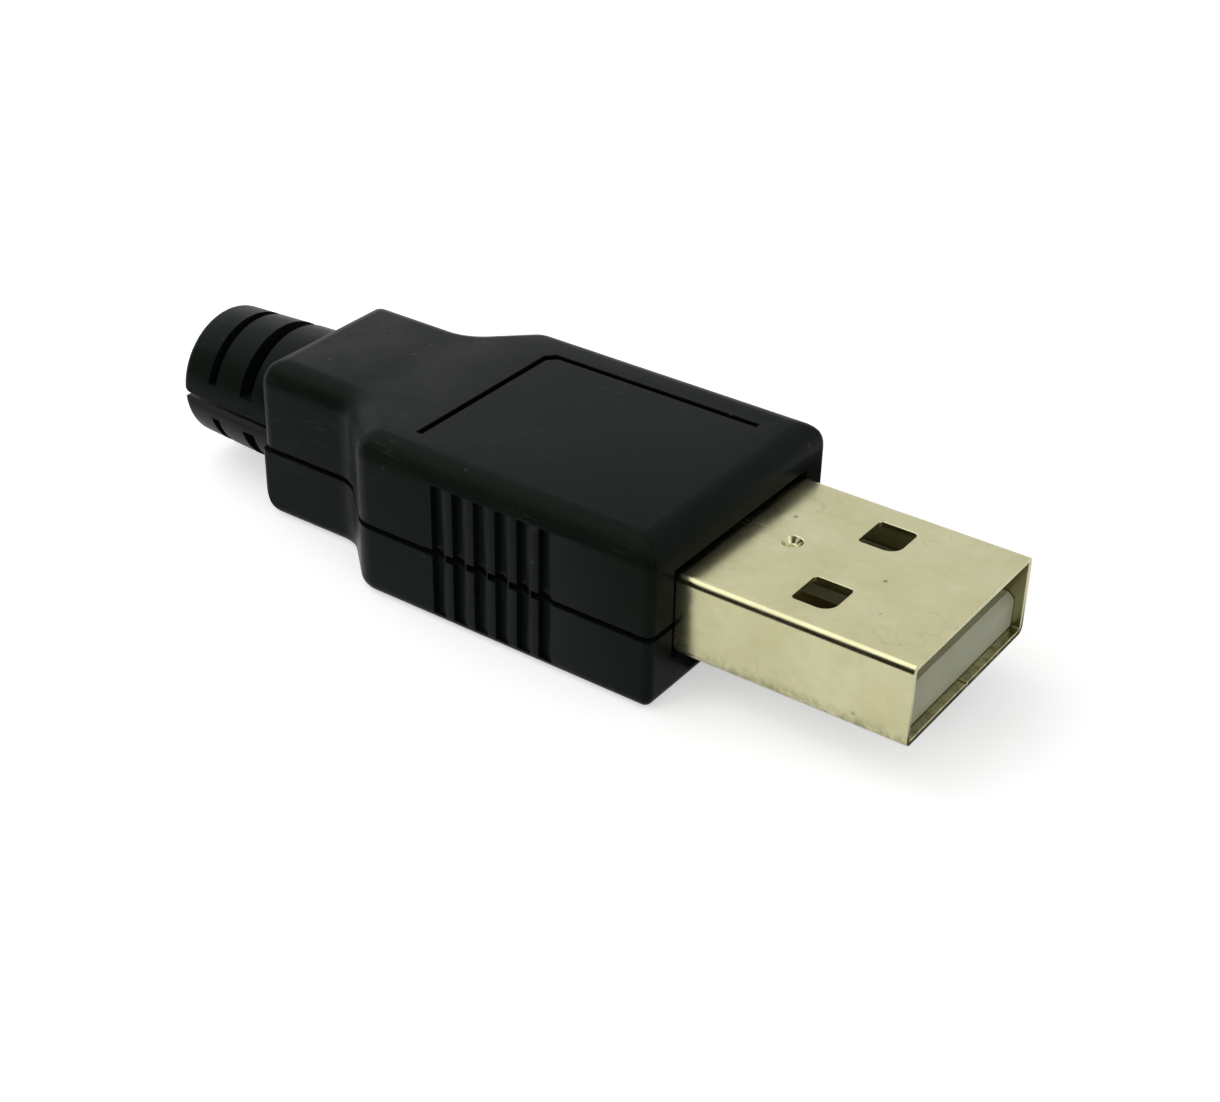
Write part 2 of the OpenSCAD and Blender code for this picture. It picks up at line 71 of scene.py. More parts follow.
def linear(colour: Colour) -> tuple[float, float, float, float]:
    """The scene-linear value of a display colour.

    Args:
        colour: red, green and blue from 0 to 1, as a screen shows them.

    Returns:
        Red, green, blue and an alpha of 1, in linear light.
    """
    return tuple(c / 12.92 if c <= 0.04045 else ((c + 0.055) / 1.055) ** 2.4 for c in colour) + (1.0,)


# ------------------------------------------------------------------ node sheets


class Sheet:
    """A node tree with short calls for adding and joining nodes."""

    def __init__(self, tree: bpy.types.NodeTree) -> None:
        """Starts a sheet.

        Args:
            tree: the tree to fill, which is emptied first.
        """
        self.tree = tree
        tree.nodes.clear()

    def add(self, kind: str, sockets: Optional[dict] = None, **settings: object) -> bpy.types.Node:
        """Adds one node.

        Args:
            kind: the node's type name.
            sockets: input name or number to a value, or to an output socket to join to it.
            settings: properties of the node itself.

        Returns:
            The new node.
        """
        node = self.tree.nodes.new(kind)
        for name, value in settings.items():
            setattr(node, name, value)
        for name, value in (sockets or {}).items():
            self.feed(node.inputs[name], value)
        return node

    def feed(self, socket: bpy.types.NodeSocket, value: object) -> None:
        """Joins an output to an input, or sets the input's own value.

        Args:
            socket: the input socket.
            value: an output socket, or a plain value.
        """
        if isinstance(value, bpy.types.NodeSocket):
            self.tree.links.new(value, socket)
        else:
            socket.default_value = value

    def math(self, operation: str, a: object, b: object = 0.0, clamp: bool = False) -> bpy.types.NodeSocket:
        """The result of a Math node on two numbers or outputs."""
        node = self.add("ShaderNodeMath", {0: a, 1: b}, operation=operation, use_clamp=clamp)
        return node.outputs[0]

    def ramp(self, value: object, low: float, high: float, to_low: float = 0.0,
             to_high: float = 1.0) -> bpy.types.NodeSocket:
        """A number mapped smoothly from one range to another, and held at its ends."""
        node = self.add("ShaderNodeMapRange", {0: value, 1: low, 2: high, 3: to_low, 4: to_high},
                        interpolation_type="SMOOTHSTEP")
        return node.outputs[0]

    def blend(self, amount: object, a: object, b: object) -> bpy.types.NodeSocket:
        """Two colours mixed by an amount from 0 to 1."""
        node = self.add("ShaderNodeMix", data_type="RGBA")
        for socket, value in ((node.inputs[0], amount), (node.inputs[6], a), (node.inputs[7], b)):
            self.feed(socket, value)
        return node.outputs[2]

    def noise(self, place: object, scale: float, detail: float = 3.0, roughness: float = 0.55
              ) -> bpy.types.NodeSocket:
        """The value of a noise at a place, with a scale in cycles a metre."""
        node = self.add("ShaderNodeTexNoise", {"Vector": place, "Scale": scale, "Detail": detail,
                                               "Roughness": roughness})
        return node.outputs[0]

    def stretched(self, place: object, x: float, y: float, z: float, turn: float = 0.0
                  ) -> bpy.types.NodeSocket:
        """A place scaled along each axis, after a turn about Z in radians."""
        node = self.add("ShaderNodeMapping", {"Vector": place, "Rotation": (0.0, 0.0, turn),
                                              "Scale": (x, y, z)})
        return node.outputs[0]


class EffectGroups:
    """The shader node groups that more than one finish uses, each built once."""

    def __init__(self) -> None:
        """Builds every group."""
        self.mottle = self._make("mottle", self._mottle)
        self.grain = self._make("moulded_grain", self._grain)
        self.specks = self._make("specks", self._specks)
        self.scratches = self._make("hair_scratches", self._scratches)
        self.cracks = self._make("wandering_cracks", self._cracks)

    def _make(self, name: str, fill: Callable[[Sheet, bpy.types.Node], bpy.types.NodeSocket]
              ) -> bpy.types.NodeTree:
        """Makes one group with a scale, an amount and a seed, putting out one value.

        Args:
            name: the group's name.
            fill: builds the nodes from the input node, and gives the output.

        Returns:
            The group's node tree.
        """
        tree = bpy.data.node_groups.new(name, "ShaderNodeTree")
        for socket, default in (("Scale", 1000.0), ("Amount", 0.5), ("Seed", 0.0)):
            made = tree.interface.new_socket(socket, in_out="INPUT", socket_type="NodeSocketFloat")
            made.default_value = default
        tree.interface.new_socket("Value", in_out="OUTPUT", socket_type="NodeSocketFloat")
        sheet = Sheet(tree)
        given = sheet.add("NodeGroupInput")
        made = fill(sheet, given)
        out = sheet.add("NodeGroupOutput")
        sheet.feed(out.inputs[0], made)
        return tree

    def _place(self, sheet: Sheet, given: bpy.types.Node) -> bpy.types.NodeSocket:
        """Object coordinates, moved by the seed so that two uses differ."""
        spot = sheet.add("ShaderNodeTexCoord").outputs["Object"]
        return sheet.add("ShaderNodeVectorMath", {0: spot, 1: given.outputs["Seed"]},
                         operation="ADD").outputs[0]

    def _mottle(self, sheet: Sheet, given: bpy.types.Node) -> bpy.types.NodeSocket:
        """Soft uneven patches, from 0 to 1; the amount sets their contrast."""
        noise = sheet.noise(self._place(sheet, given), given.outputs["Scale"], 4.0, 0.6)
        centred = sheet.math("MULTIPLY", sheet.math("SUBTRACT", noise, 0.5), 3.0)
        return sheet.math("ADD", sheet.math("MULTIPLY", centred, given.outputs["Amount"]), 0.5, clamp=True)

    def _grain(self, sheet: Sheet, given: bpy.types.Node) -> bpy.types.NodeSocket:
        """The fine spark-eroded grain of a mould, as a height."""
        place = self._place(sheet, given)
        fine = sheet.noise(place, given.outputs["Scale"], 2.0, 0.5)
        broad = sheet.noise(place, sheet.math("MULTIPLY", given.outputs["Scale"], 0.16), 2.0, 0.5)
        return sheet.math("MULTIPLY", sheet.math("ADD", fine, sheet.math("MULTIPLY", broad, 0.7)),
                          given.outputs["Amount"])

    def _specks(self, sheet: Sheet, given: bpy.types.Node) -> bpy.types.NodeSocket:
        """Sparse round specks as a mask; the amount is the share of cells that hold one."""
        cells = sheet.add("ShaderNodeTexVoronoi", {"Vector": self._place(sheet, given),
                                                   "Scale": given.outputs["Scale"]})
        tone = sheet.add("ShaderNodeSeparateColor", {0: cells.outputs["Color"]}).outputs[0]
        held = sheet.math("LESS_THAN", tone, given.outputs["Amount"])
        return sheet.math("MULTIPLY", held, sheet.ramp(cells.outputs["Distance"], 0.1, 0.3, 1.0, 0.0))

    def _scratches(self, sheet: Sheet, given: bpy.types.Node) -> bpy.types.NodeSocket:
        """Fine straight hairlines along the plug as a mask; the amount widens them."""
        place = self._place(sheet, given)
        masks = []
        for turn in (0.05, -0.22):
            lines = sheet.noise(sheet.stretched(place, 0.035, 1.0, 1.0, turn),
                                given.outputs["Scale"], 1.0, 0.4)
            ridge = sheet.math("ABSOLUTE", sheet.math("SUBTRACT", lines, 0.5))
            width = sheet.math("MULTIPLY", given.outputs["Amount"], 0.01)
            masks.append(sheet.math("LESS_THAN", ridge, width))
        patches = sheet.ramp(sheet.noise(place, 260.0, 2.0), 0.52, 0.62)
        return sheet.math("MULTIPLY", sheet.math("MAXIMUM", *masks), patches)

    def _cracks(self, sheet: Sheet, given: bpy.types.Node) -> bpy.types.NodeSocket:
        """Sparse wandering hairlines as a mask; the amount widens them."""
        place = self._place(sheet, given)
        lines = sheet.noise(place, given.outputs["Scale"], 2.5, 0.5)
        ridge = sheet.math("ABSOLUTE", sheet.math("SUBTRACT", lines, 0.5))
        line = sheet.ramp(ridge, 0.0, sheet.math("MULTIPLY", given.outputs["Amount"], 0.012), 1.0, 0.0)
        return sheet.math("MULTIPLY", line, sheet.ramp(sheet.noise(place, 170.0, 1.0), 0.54, 0.60))

    def use(self, sheet: Sheet, group: bpy.types.NodeTree, scale: float, amount: float,
            seed: float = 0.0) -> bpy.types.NodeSocket:
        """Places a group in a material.

        Args:
            sheet: the material's sheet.
            group: one of this object's groups.
            scale: cycles a metre.
            amount: contrast, height or share, as the group says.
            seed: moves the pattern.

        Returns:
            The group's value.
        """
        node = sheet.add("ShaderNodeGroup", node_tree=group)
        for name, value in (("Scale", scale), ("Amount", amount), ("Seed", seed)):
            node.inputs[name].default_value = value
        return node.outputs[0]


# ------------------------------------------------------------------ finishes


@dataclass(frozen=True)
class Finish:
    """What every finish shares: its name, and a material with one main shader."""

    name: str

    def material(self, groups: EffectGroups) -> bpy.types.Material:
        """Builds the material.

        Args:
            groups: the shared effects.

        Returns:
            The finished material.
        """
        made = bpy.data.materials.new(self.name)
        made.use_nodes = True
        sheet = Sheet(made.node_tree)
        shader = sheet.add("ShaderNodeBsdfPrincipled")
        self.paint(sheet, shader, groups)
        out = sheet.add("ShaderNodeOutputMaterial")
        sheet.feed(out.inputs["Surface"], shader.outputs[0])
        return made

    def paint(self, sheet: Sheet, shader: bpy.types.Node, groups: EffectGroups) -> None:
        """Feeds the shader; each finish does this its own way."""
        raise NotImplementedError

    @staticmethod
    def bump(sheet: Sheet, shader: bpy.types.Node, height: bpy.types.NodeSocket, depth: float) -> None:
        """Feeds the shader's normal from a height.

        Args:
            sheet: the material's sheet.
            shader: the main shader.
            height: the height, about 0 to 1.
            depth: what a height of 1 stands for, in metres.
        """
        node = sheet.add("ShaderNodeBump", {"Height": height, "Distance": depth, "Strength": 1.0})
        sheet.feed(shader.inputs["Normal"], node.outputs[0])


@dataclass(frozen=True)
class BlackMoulding(Finish):
    """Dark glass-filled nylon from a spark-eroded mould, handled a little."""

    name: str = "black_moulding"
    dark: Colour = (0.050, 0.068, 0.054)
    light: Colour = (0.080, 0.100, 0.083)
    # painted shade: the near-black colour painted into the parting line and the sunk mark
    crevice_shade_colour: Colour = (0.012, 0.015, 0.012)
    joint_z: float = 4.1 * MM
    joint_half: float = 0.165 * MM
    mark_low: tuple[float, float, float] = (-4.9 * MM, -6.0 * MM, 8.9 * MM)
    mark_high: tuple[float, float, float] = (8.9 * MM, 5.7 * MM, 9.2 * MM)
    dust: Colour = (0.30, 0.32, 0.29)
    roughness: float = 0.36
    gloss: float = 0.04
    gloss_tint: tuple[float, float, float, float] = (0.84, 1.0, 0.88, 1.0)
    grain_depth: float = 0.007 * MM

    def paint(self, sheet: Sheet, shader: bpy.types.Node, groups: EffectGroups) -> None:
        """Uneven near-black with dust specks, faint scuffs, a fine grain and painted shade in the parting
        line and the sunk mark.
        """
        patches = groups.use(sheet, groups.mottle, 420.0, 0.5)
        fine = groups.use(sheet, groups.mottle, 5200.0, 0.55, 3.0)
        specks = groups.use(sheet, groups.specks, 1900.0, 0.012, 1.0)
        scuffs = groups.use(sheet, groups.scratches, 2600.0, 0.7, 5.0)
        tone = sheet.math("MULTIPLY", sheet.math("ADD", patches, fine), 0.5)
        body = sheet.blend(tone, linear(self.dark), linear(self.light))
        dusty = sheet.blend(sheet.math("MULTIPLY", specks, 0.35), body, linear(self.dust))
        worn = sheet.blend(sheet.math("MULTIPLY", scuffs, 0.12), dusty, linear(self.dust))
        # painted shade: the parting line's depths and the sunk mark are coloured near-black
        sheet.feed(shader.inputs["Base Color"], sheet.blend(self._crevice_shade_mask(sheet), worn, linear(self.crevice_shade_colour)))
        rough = sheet.ramp(patches, 0.0, 1.0, self.roughness - 0.07, self.roughness + 0.07)
        polish = sheet.math("MULTIPLY", scuffs, 0.1)
        sheet.feed(shader.inputs["Roughness"], sheet.math("SUBTRACT", rough, polish))
        shader.inputs["Specular IOR Level"].default_value = self.gloss
        shader.inputs["Specular Tint"].default_value = self.gloss_tint
        self.bump(sheet, shader, groups.use(sheet, groups.grain, 9000.0, 1.0), self.grain_depth)

    def _crevice_shade_mask(self, sheet: Sheet) -> bpy.types.NodeSocket:
        """Painted shade: the depths of the parting line and of the sunk mark coloured near-black, as a mask.

        Args:
            sheet: the material's sheet.

        Returns:
            The mask, 0 or 1.
        """
        spot = sheet.add("ShaderNodeTexCoord").outputs["Object"]
        axes = sheet.add("ShaderNodeSeparateXYZ", {0: spot}).outputs
        off = sheet.math("ABSOLUTE", sheet.math("SUBTRACT", axes[2], self.joint_z))
        mask = sheet.math("LESS_THAN", off, self.joint_half)
        sunk: object = 1.0
        for axis, low, high in zip(axes, self.mark_low, self.mark_high):
            within = sheet.math("MULTIPLY", sheet.math("GREATER_THAN", axis, low),
                                sheet.math("LESS_THAN", axis, high))
            sunk = sheet.math("MULTIPLY", within, sunk)
        return sheet.math("MAXIMUM", mask, sunk)


@dataclass(frozen=True)
class NickelPlate(Finish):
    """Satin nickel over rolled brass, warm in tone, with smudges and hairlines."""

    name: str = "nickel_plate"
    slot_x: float = 11.2 * MM
    sole_z: float = 2.4 * MM
    bright: Colour = (0.80, 0.79, 0.65)
    dull: Colour = (0.70, 0.685, 0.52)
    # dark tone for the real specks, cracks and dirt, and for the painted dark reflection of the housing
    grime_and_reflection: Colour = (0.26, 0.235, 0.15)
    roughness: float = 0.17
    wave_depth: float = 0.003 * MM
    slot_reach: float = 0.7 * MM
    sole_reach: float = 1.1 * MM

    def paint(self, sheet: Sheet, shader: bpy.types.Node, groups: EffectGroups) -> None:
        """Warm plate whose tone and sheen drift, with scratches and a few dark specks; beside the housing it
        carries a painted dark reflection of the housing mixed with dirt, and it grows darker towards its
        lower edge.
        """
        smudges = groups.use(sheet, groups.mottle, 330.0, 0.55)
        fine = groups.use(sheet, groups.mottle, 1900.0, 0.4, 2.0)
        hairs = groups.use(sheet, groups.scratches, 3800.0, 1.2)
        specks = groups.use(sheet, groups.specks, 1700.0, 0.012, 4.0)
        cracks = groups.use(sheet, groups.cracks, 300.0, 0.7, 3.0)
        tone = sheet.math("ADD", sheet.math("MULTIPLY", smudges, 0.7), sheet.math("MULTIPLY", fine, 0.3))
        plate = sheet.blend(tone, linear(self.dull), linear(self.bright))
        marks = sheet.math("MAXIMUM", sheet.math("MULTIPLY", specks, 0.6),
                           sheet.math("MULTIPLY", cracks, 0.13))
        # specks and cracks are real marks; the added mask is a painted reflection with dirt beside the
        # housing, and a darker lower band
        grime_and_reflection = sheet.math("MAXIMUM", marks, self._reflection_dirt_and_low_band(sheet, groups))
        sheet.feed(shader.inputs["Base Color"], sheet.blend(grime_and_reflection, plate, linear(self.grime_and_reflection)))
        shader.inputs["Metallic"].default_value = 1.0
        rough = sheet.ramp(smudges, 0.0, 1.0, self.roughness + 0.1, self.roughness)
        sheet.feed(shader.inputs["Roughness"], sheet.math("ADD", rough, sheet.math("MULTIPLY", hairs, 0.05)))
        wave = groups.use(sheet, groups.mottle, 520.0, 0.4, 7.0)
        height = sheet.math("SUBTRACT", wave, sheet.math("MULTIPLY", hairs, 0.03))
        self.bump(sheet, shader, height, self.wave_depth)

    def _reflection_dirt_and_low_band(self, sheet: Sheet, groups: EffectGroups) -> bpy.types.NodeSocket:
        """A painted dark reflection of the housing mixed with dirt just beside the housing, and a band
        darker towards the lower bends, as a mask.

        Args:
            sheet: the material's sheet.
            groups: the shared effects.

        Returns:
            The mask, from 0 to 1.
        """
        spot = sheet.add("ShaderNodeTexCoord").outputs["Object"]
        axes = sheet.add("ShaderNodeSeparateXYZ", {0: spot}).outputs
        # painted reflection: the housing's dark reflection, mixed with dirt, painted on the plate just
        # beside the housing
        beside = sheet.ramp(axes[0], self.slot_x, self.slot_x + self.slot_reach, 0.4, 0.0)
        # darker towards the lower edge of the sheet
        under = sheet.ramp(axes[2], self.sole_z, self.sole_z + self.sole_reach, 0.75, 0.0)
        broken = groups.use(sheet, groups.mottle, 2400.0, 1.0, 9.0)
        return sheet.math("MULTIPLY", sheet.math("MAXIMUM", beside, under), broken)


@dataclass(frozen=True)
class WhiteMoulding(Finish):
    """Ivory thermoplastic, a little translucent, slightly glossy."""

    name: str = "white_moulding"
    pale: Colour = (0.78, 0.785, 0.68)
    shade: Colour = (0.71, 0.715, 0.60)
    roughness: float = 0.38
    glow: float = 0.12
    glow_depth: float = 0.4 * MM
    grain_depth: float = 0.006 * MM

    def paint(self, sheet: Sheet, shader: bpy.types.Node, groups: EffectGroups) -> None:
        """Ivory with faint flow patches and a low grain."""
        flow = groups.use(sheet, groups.mottle, 700.0, 0.4, 6.0)
        sheet.feed(shader.inputs["Base Color"], sheet.blend(flow, linear(self.shade), linear(self.pale)))
        rough = sheet.ramp(flow, 0.0, 1.0, self.roughness + 0.06, self.roughness)
        sheet.feed(shader.inputs["Roughness"], rough)
        shader.inputs["Subsurface Weight"].default_value = self.glow
        shader.inputs["Subsurface Scale"].default_value = self.glow_depth
        self.bump(sheet, shader, groups.use(sheet, groups.grain, 6000.0, 1.0, 2.0), self.grain_depth)


@dataclass(frozen=True)
class GoldPlate(Finish):
    """Thin gold over nickel on a rolled strip."""

    name: str = "contact_gold"
    rich: Colour = (0.66, 0.57, 0.36)
    worn: Colour = (0.52, 0.48, 0.35)
    roughness: float = 0.34
    line_depth: float = 0.003 * MM

    def paint(self, sheet: Sheet, shader: bpy.types.Node, groups: EffectGroups) -> None:
        """Gold that thins along the strip, with rolling lines."""
        patches = groups.use(sheet, groups.mottle, 900.0, 0.6, 8.0)
        hairs = groups.use(sheet, groups.scratches, 5200.0, 1.6, 2.0)
        sheet.feed(shader.inputs["Base Color"], sheet.blend(patches, linear(self.worn), linear(self.rich)))
        shader.inputs["Metallic"].default_value = 1.0
        sheet.feed(shader.inputs["Roughness"],
                   sheet.math("ADD", sheet.math("MULTIPLY", hairs, 0.15), self.roughness))
        self.bump(sheet, shader, hairs, self.line_depth)


# ------------------------------------------------------------------ sub-assemblies


@dataclass
class WeldedSolid:
    """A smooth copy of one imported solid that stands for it.

    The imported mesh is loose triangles. The copy is welded, its flat runs are joined into
    single faces, and its shading is smooth up to a crease angle.
    """

    node: str
    crease: float = math.radians(32.0)
    edge_round: float = 0.07 * MM
    segments: int = 2
    weld: float = 0.0004 * MM
    sliver: float = 0.006 * MM
    flat_angle: float = math.radians(0.6)
    cutters: tuple[bpy.types.Object, ...] = ()

    def build(self, name: str, material: bpy.types.Material) -> bpy.types.Object:
        """Makes the copy, shown in place of the imported node, which it hides.

        Args:
            name: the piece's name.
            material: its finish.

        Returns:
            The new piece, riding on the root body.
        """
        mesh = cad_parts[self.node].data.copy()
        mesh.name = name
        mesh.materials.clear()
        mesh.materials.append(material)
        self._rework(mesh, lambda work: bmesh.ops.remove_doubles(work, verts=work.verts, dist=self.weld))
        piece = bpy.data.objects.new(name, mesh)
        bpy.context.scene.collection.objects.link(piece)
        for cutter in self.cutters:
            self._cut(piece, cutter)
        if self.cutters:
            self._rework(piece.data, lambda work: bmesh.ops.remove_doubles(
                work, verts=work.verts, dist=self.sliver))
            self._rework(piece.data, lambda work: bmesh.ops.dissolve_degenerate(
                work, edges=work.edges, dist=self.sliver))
        self._rework(piece.data, lambda work: bmesh.ops.dissolve_limit(
            work, angle_limit=self.flat_angle, verts=work.verts, edges=work.edges))
        self._soften(piece)
        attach(piece, ROOT)
        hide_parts(self.node)
        return piece

    @staticmethod
    def _rework(mesh: bpy.types.Mesh, change: Callable[[bmesh.types.BMesh], object]) -> None:
        """Runs one edit on a mesh.

        Args:
            mesh: the mesh, changed in place.
            change: the edit.
        """
        work = bmesh.new()
        work.from_mesh(mesh)
        change(work)
        work.to_mesh(mesh)
        work.free()

    def _cut(self, piece: bpy.types.Object, cutter: bpy.types.Object) -> None:
        """Takes a cutter's volume out of the piece for good.

        Args:
            piece: the copy.
            cutter: a closed mesh.
        """
        tool = piece.modifiers.new("cut", "BOOLEAN")
        tool.operation = "DIFFERENCE"
        tool.solver = "EXACT"
        tool.object = cutter
        old = piece.data
        piece.data = plain_mesh(piece, old.name)
        bpy.data.meshes.remove(old)

    def _soften(self, piece: bpy.types.Object) -> None:
        """Rounds the sharp edges a little and sets the shading.

        Args:
            piece: the copy.
        """
        mesh = piece.data
        if "custom_normal" in mesh.attributes:
            mesh.attributes.remove(mesh.attributes["custom_normal"])
        mesh.shade_smooth()
        mesh.set_sharp_from_angle(angle=self.crease)
        if self.edge_round:
            bevel = piece.modifiers.new("edge_round", "BEVEL")
            bevel.width = self.edge_round
            bevel.segments = self.segments
            bevel.limit_method = "ANGLE"
            bevel.angle_limit = self.crease
            bevel.use_clamp_overlap = True
            bevel.miter_outer = "MITER_SHARP"
            bevel.harden_normals = False


@dataclass
class Reeding:
    """The grip: a row of leaning flutes on each long side, and the shadow dashes between covers.

    One flute is a prism whose front wall stands square to the side and whose floor rises
    gently behind it. Geometry Nodes repeat it along the side and mirror it to the other.
    """

    count: int = 6
    pitch: float = 1.345 * MM
    first_x: float = 4.85 * MM
    side_y: float = 8.0 * MM
    joint_z: float = 4.1 * MM
    foot_z: float = 0.5 * MM
    head_z: float = 8.05 * MM
    dash_length: float = 1.1 * MM
    dash_height: float = 0.42 * MM
    dash_depth: float = 0.7 * MM
    dash_back: float = 0.22 * MM
    overhang: float = 0.3 * MM
    section: tuple[tuple[float, float], ...] = (
        (-0.29, 0.3), (-0.29, -0.30), (0.03, -0.30), (0.63, 0.012), (0.63, 0.3))

    def build(self, material: bpy.types.Material) -> tuple[bpy.types.Object, bpy.types.Object]:
        """Makes the two cutters.

        Args:
            material: the finish of the surfaces that they leave.

        Returns:
            The flutes of both sides, and the dashes of both sides.
        """
        flute = [Vector((self.first_x + x * MM, -self.side_y - y * MM, 0.0)) for x, y in self.section]
        x = self.first_x - self.dash_back
        half = self.dash_length / 2
        outer, inner = -self.side_y - self.overhang, -self.side_y + self.dash_depth
        dash = [Vector(p) for p in ((x - half, outer, 0), (x + half, outer, 0),
                                    (x + half, inner, 0), (x - half, inner, 0))]
        rise = self.dash_height / 2
        return (self._row("flute_cutter", flute, self.foot_z, self.head_z, material),
                self._row("dash_cutter", dash, self.joint_z - rise, self.joint_z + rise, material))

    def _row(self, name: str, outline: list[Vector], low: float, high: float,
             material: bpy.types.Material) -> bpy.types.Object:
        """One prism, repeated along both sides.

        Args:
            name: the cutter's name.
            outline: the prism's section, seen from above.
            low: its lower height.
            high: its upper height.
            material: the finish that it carries.

        Returns:
            The cutter, hidden, as a plain mesh.
        """
        work = bmesh.new()
        bottom = work.faces.new([work.verts.new((p.x, p.y, low)) for p in outline])
        made = bmesh.ops.extrude_face_region(work, geom=[bottom])["geom"]
        moved = [v for v in made if isinstance(v, bmesh.types.BMVert)]
        bmesh.ops.translate(work, verts=moved, vec=(0.0, 0.0, high - low))
        bmesh.ops.recalc_face_normals(work, faces=work.faces)
        mesh = bpy.data.meshes.new(name)
        work.to_mesh(mesh)
        work.free()
        mesh.materials.append(material)
        row = bpy.data.objects.new(name, mesh)
        bpy.context.scene.collection.objects.link(row)
        tree = repeat_tree(name + "_row")
        feed_modifier(row, tree, {"Count": self.count, "Pitch": self.pitch, "Finish": material})
        row.data = plain_mesh(row, name)
        row.hide_render = True
        row.hide_viewport = True
        return row


def repeat_tree(name: str) -> bpy.types.GeometryNodeTree:
    """Builds the node tree that repeats a mesh backwards along the plug and mirrors the row.

    Args:
        name: the tree's name.

    Returns:
        A tree with the inputs Geometry, Count, Pitch and Finish.
    """
    tree = bpy.data.node_groups.new(name, "GeometryNodeTree")
    tree.interface.new_socket("Geometry", in_out="INPUT", socket_type="NodeSocketGeometry")
    tree.interface.new_socket("Count", in_out="INPUT", socket_type="NodeSocketInt")
    tree.interface.new_socket("Pitch", in_out="INPUT", socket_type="NodeSocketFloat")
    tree.interface.new_socket("Finish", in_out="INPUT", socket_type="NodeSocketMaterial")
    tree.interface.new_socket("Geometry", in_out="OUTPUT", socket_type="NodeSocketGeometry")
    sheet = Sheet(tree)
    given = sheet.add("NodeGroupInput")
    back = sheet.add("ShaderNodeMath", {0: given.outputs["Pitch"], 1: -1.0}, operation="MULTIPLY")
    step = sheet.add("ShaderNodeCombineXYZ", {"X": back.outputs[0]})
    line = sheet.add("GeometryNodeMeshLine", {"Count": given.outputs["Count"], "Offset": step.outputs[0]})
    near = sheet.add("GeometryNodeInstanceOnPoints", {"Points": line.outputs[0],
                                                      "Instance": given.outputs["Geometry"]})
    solid = sheet.add("GeometryNodeRealizeInstances", {0: near.outputs[0]})
    mirrored = sheet.add("GeometryNodeTransform", {"Geometry": solid.outputs[0], "Scale": (1.0, -1.0, 1.0)})
    turned = sheet.add("GeometryNodeFlipFaces", {"Mesh": mirrored.outputs[0]})
    both = sheet.add("GeometryNodeJoinGeometry")
    sheet.feed(both.inputs[0], solid.outputs[0])
    sheet.feed(both.inputs[0], turned.outputs[0])
    real = sheet.add("GeometryNodeRealizeInstances", {0: both.outputs[0]})
    dressed = sheet.add("GeometryNodeSetMaterial", {"Geometry": real.outputs[0],
                                                    "Material": given.outputs["Finish"]})
    out = sheet.add("NodeGroupOutput")
    sheet.feed(out.inputs[0], dressed.outputs[0])
    return tree


def feed_modifier(host: bpy.types.Object, tree: bpy.types.GeometryNodeTree, values: dict) -> None:
    """Puts a node tree on an object and sets its inputs by their identifiers.

    Args:
        host: the object.
        tree: the node tree.
        values: input name to value.
    """
    tool = host.modifiers.new(tree.name, "NODES")
    tool.node_group = tree
    for item in tree.interface.items_tree:
        if item.item_type == "SOCKET" and item.in_out == "INPUT" and item.name in values:
            tool[item.identifier] = values[item.name]


def plain_mesh(host: bpy.types.Object, name: str) -> bpy.types.Mesh:
    """The object's mesh with its modifiers worked in, which are then removed.

    Args:
        host: the object.
        name: the new mesh's name.

    Returns:
        The new mesh.
    """
    bpy.context.view_layer.update()
    depsgraph = bpy.context.evaluated_depsgraph_get()
    mesh = bpy.data.meshes.new_from_object(host.evaluated_get(depsgraph), depsgraph=depsgraph)
    mesh.name = name
    host.modifiers.clear()
    return mesh


@dataclass
class Housing:
    """The two snap-together covers, their grip and their cable tube."""

    edge_round: float = 0.05 * MM
    grip: Reeding = field(default_factory=Reeding)

    def build(self, black: bpy.types.Material) -> list[bpy.types.Object]:
        """Dresses both covers.

        Args:
            black: the moulding's finish.

        Returns:
            The pieces made.
        """
        cutters = self.grip.build(black)
        covers = [WeldedSolid(node, edge_round=self.edge_round, cutters=cutters).build(name, black)
                  for node, name in (("upper_cover", "upper_moulding"), ("lower_cover", "lower_moulding"))]
        for cutter in cutters:
            bpy.data.objects.remove(cutter)
        return covers


@dataclass
class MetalShell:
    """The folded and plated sheet."""

    edge_round: float = 0.06 * MM

    def build(self, nickel: bpy.types.Material) -> list[bpy.types.Object]:
        """Dresses the folded sheet.

        Args:
            nickel: the plate's finish.

        Returns:
            The pieces made.
        """
        return [WeldedSolid("plug_shell", edge_round=self.edge_round).build("folded_shell", nickel)]


@dataclass
class ContactBlock:
    """The white insulator with its four plated contacts."""

    edge_round: float = 0.3 * MM
    contact_round: float = 0.03 * MM
    tongue_segments: int = 5

    def build(self, white: bpy.types.Material, gold: bpy.types.Material) -> list[bpy.types.Object]:
        """Dresses the insulator and the contacts.

        Args:
            white: the insulator's finish.
            gold: the contacts' finish.

        Returns:
            The pieces made.
        """
        tongue = WeldedSolid("insulator", edge_round=self.edge_round, segments=self.tongue_segments)
        pieces = [tongue.build("tongue_block", white)]
        for node in ("power_contact", "data_minus_contact", "data_plus_contact", "ground_contact"):
            pieces.append(WeldedSolid(node, edge_round=self.contact_round).build(node + "_strip", gold))
        return pieces


# ------------------------------------------------------------------ studio


